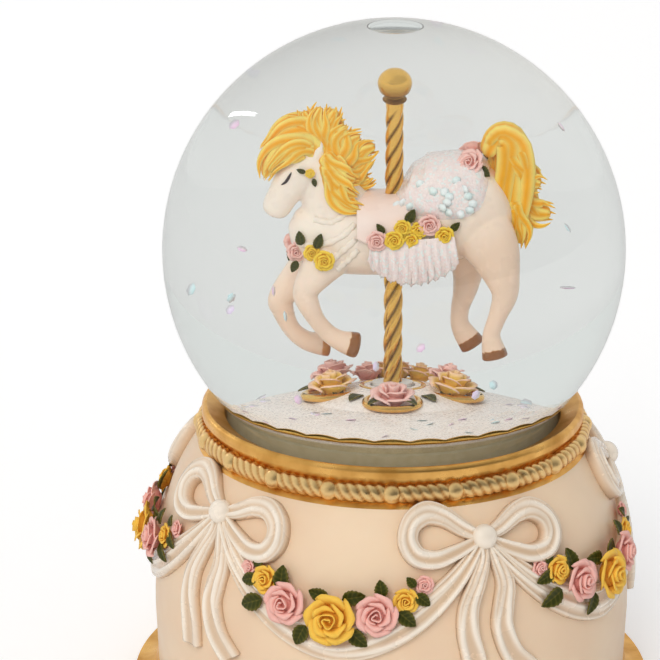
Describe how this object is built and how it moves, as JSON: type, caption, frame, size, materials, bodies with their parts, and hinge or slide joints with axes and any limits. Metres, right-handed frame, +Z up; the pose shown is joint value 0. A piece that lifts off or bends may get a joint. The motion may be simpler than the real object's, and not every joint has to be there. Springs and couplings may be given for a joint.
{
  "type": "carousel horse music box",
  "caption": "Musical water globe: a carousel horse on a twisted pole turns inside a glass ball on a round base with bows and rose garlands, wound by a key underneath.",
  "frame": {"origin": "centre of the felt ring's underside, on the surface that the music box stands on", "axes": "+Z up along the globe's and the pole's axis; the horse faces -X and its left-hand view is seen from -Y"},
  "size_m": [0.116, 0.116, 0.153],
  "materials": {
    "cast_resin": "satin",
    "gilt": "polished gilt",
    "pearl_ribbon": "pearl",
    "pink_petal": "satin",
    "yellow_petal": "satin",
    "leaf_green": "satin",
    "clear_glass": "clear",
    "stopper_rubber": "matt",
    "snow": "glitter",
    "steel": "bright",
    "brass_works": "machined",
    "zinc_cast": "cast",
    "black_plastic": "matt",
    "white_plastic": "matt",
    "felt": "felt",
    "horse_white": "pearl",
    "horse_gold": "gloss",
    "saddle_peach": "pearl",
    "flower_mix": "satin"
  },
  "bodies": {
    "base": {"base_shell": "cast_resin", "globe_collar": "gilt", "collar_rope": "gilt", "foot_rim": "gilt", "ground_edging": "gilt", "ribbon_bow_1": "pearl_ribbon", "ribbon_bow_2": "pearl_ribbon", "ribbon_bow_3": "pearl_ribbon", "ribbon_bow_4": "pearl_ribbon", "ribbon_bow_5": "pearl_ribbon", "ribbon_swag_1": "pearl_ribbon", "ribbon_swag_2": "pearl_ribbon", "ribbon_swag_3": "pearl_ribbon", "ribbon_swag_4": "pearl_ribbon", "ribbon_swag_5": "pearl_ribbon", "pink_roses": "pink_petal", "yellow_roses": "yellow_petal", "rose_leaves": "leaf_green", "glass_globe": "clear_glass", "globe_stopper": "stopper_rubber", "snow_ground": "snow", "pivot_pin": "steel", "cover_screws": "steel", "movement_screws": "steel", "tone_comb": "steel", "comb_screws": "steel", "cylinder_bracket": "brass_works", "governor_frame": "brass_works", "shaft_bridge": "brass_works", "movement_bedplate": "zinc_cast", "base_cover": "black_plastic", "felt_ring": "felt"},
    "winder": {"winding_key": "brass_works", "winding_arbor": "steel"},
    "barrel": {"spring_barrel": "brass_works", "barrel_cap": "brass_works", "mainspring": "steel", "output_shaft": "steel", "magnet_carrier": "white_plastic", "drive_magnets": "steel"},
    "cylinder": {"pin_cylinder": "brass_works", "cylinder_shaft": "steel", "cylinder_pinion": "brass_works", "cylinder_wheel": "brass_works"},
    "governor": {"governor_shaft": "steel", "governor_pinion": "brass_works", "worm_wheel": "white_plastic"},
    "worm": {"governor_worm": "brass_works", "governor_fan": "black_plastic"},
    "carousel": {"magnet_rotor": "white_plastic", "rotor_magnets": "steel", "carousel_pole": "gilt", "pole_finial": "gilt", "rose_scroll": "gilt", "globe_roses": "flower_mix", "horse_body": "horse_white", "horse_mane": "horse_gold", "horse_tail": "horse_gold", "horse_saddle": "saddle_peach", "horse_flowers": "flower_mix"}
  },
  "joints": [
    {"name": "winding_key_turn", "type": "hinge", "parent": "base", "child": "winder", "pos_m": [0, 0, 0.0065], "axis": [0, 0, 1], "range_deg": [0, 2520]},
    {"name": "spring_barrel_turn", "type": "hinge", "parent": "base", "child": "barrel", "pos_m": [0, 0, 0.024], "axis": [0, 0, 1], "continuous": true},
    {"name": "carousel_turn", "type": "hinge", "parent": "base", "child": "carousel", "pos_m": [0, 0, 0.0781], "axis": [0, 0, 1], "continuous": true},
    {"name": "cylinder_turn", "type": "hinge", "parent": "base", "child": "cylinder", "pos_m": [0.0243, 0, 0.03591], "axis": [1, 0, 0], "continuous": true},
    {"name": "governor_shaft_turn", "type": "hinge", "parent": "base", "child": "governor", "pos_m": [0.02466, 0.0128, 0.03591], "axis": [1, 0, 0], "continuous": true},
    {"name": "governor_worm_turn", "type": "hinge", "parent": "base", "child": "worm", "pos_m": [0.02466, 0.0197, 0.03591], "axis": [0, 0, 1], "continuous": true}
  ],
  "couplings": [
    {"joint": "carousel_turn", "follows": "spring_barrel_turn", "ratio": 1},
    {"joint": "cylinder_turn", "follows": "spring_barrel_turn", "ratio": 3},
    {"joint": "governor_shaft_turn", "follows": "spring_barrel_turn", "ratio": -9},
    {"joint": "governor_worm_turn", "follows": "spring_barrel_turn", "ratio": 90}
  ]
}
